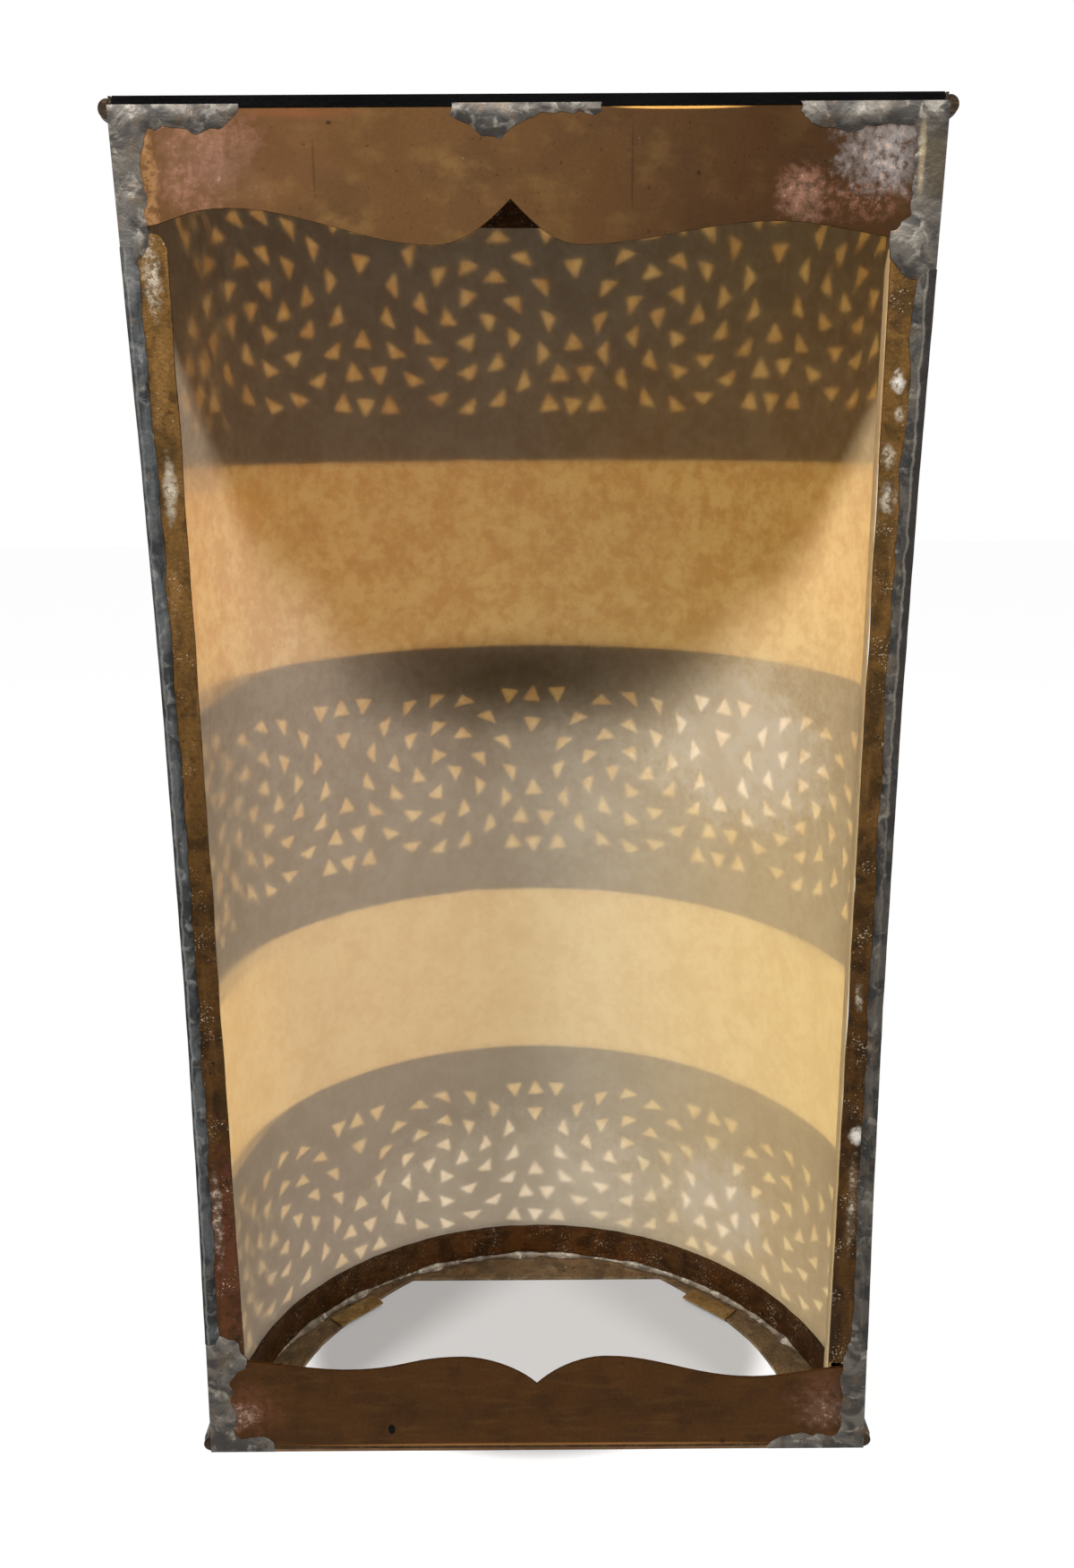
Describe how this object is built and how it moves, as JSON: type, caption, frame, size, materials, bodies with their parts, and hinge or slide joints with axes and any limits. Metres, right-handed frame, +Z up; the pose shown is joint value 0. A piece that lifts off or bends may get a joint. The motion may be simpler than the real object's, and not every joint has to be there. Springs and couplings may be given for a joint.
{
  "type": "half-round wall sconce",
  "caption": "Half-round wall sconce, open at the back and the bottom: bands pierced with small triangles round a translucent sheet, on a soldered brass frame with scalloped back plates.",
  "frame": {"origin": "on the wall, at the back face of the top back plate, on the sconce's centre line, between the plate's pointed notch and the solder at its top edge", "axes": "+Z up, +Y into the wall, -Y the way the half-round front faces, +X to the right as seen from the front"},
  "size_m": [0.235, 0.1229, 0.435],
  "materials": {
    "band_brass": "hand-cut sheet brass, lightly aged",
    "shade_parchment": "translucent parchment-like sheet, mottled",
    "frame_brass": "folded sheet brass, aged, flux specks",
    "plate_brass": "sheet brass, heat-stained brown with pink and gold patches",
    "ring_brass": "sheet brass, dull grey-brown",
    "strip_brass": "sheet brass, dark brown with pale specks",
    "rim_brass": "half-round brass, darkened",
    "tab_brass": "sheet brass, bright",
    "solder": "tin solder, lumpy dull grey"
  },
  "bodies": {
    "root": {"bottom_band": "band_brass", "middle_band": "band_brass", "top_band": "band_brass", "shade_sheet": "shade_parchment", "left_stile": "frame_brass", "right_stile": "frame_brass", "top_back_plate": "plate_brass", "bottom_back_plate": "plate_brass", "bottom_end_ring": "ring_brass", "top_cap": "ring_brass", "bottom_left_strip": "strip_brass", "bottom_right_strip": "strip_brass", "top_strip": "strip_brass", "right_ring_tab": "tab_brass", "left_ring_tab": "tab_brass", "bottom_rim": "rim_brass", "top_rim": "rim_brass", "left_seam_solder": "solder", "right_seam_solder": "solder", "top_left_solder": "solder", "top_right_solder": "solder", "bottom_left_solder": "solder", "bottom_right_solder": "solder", "top_centre_solder": "solder", "strip_foot_solder": "solder"}
  },
  "joints": []
}
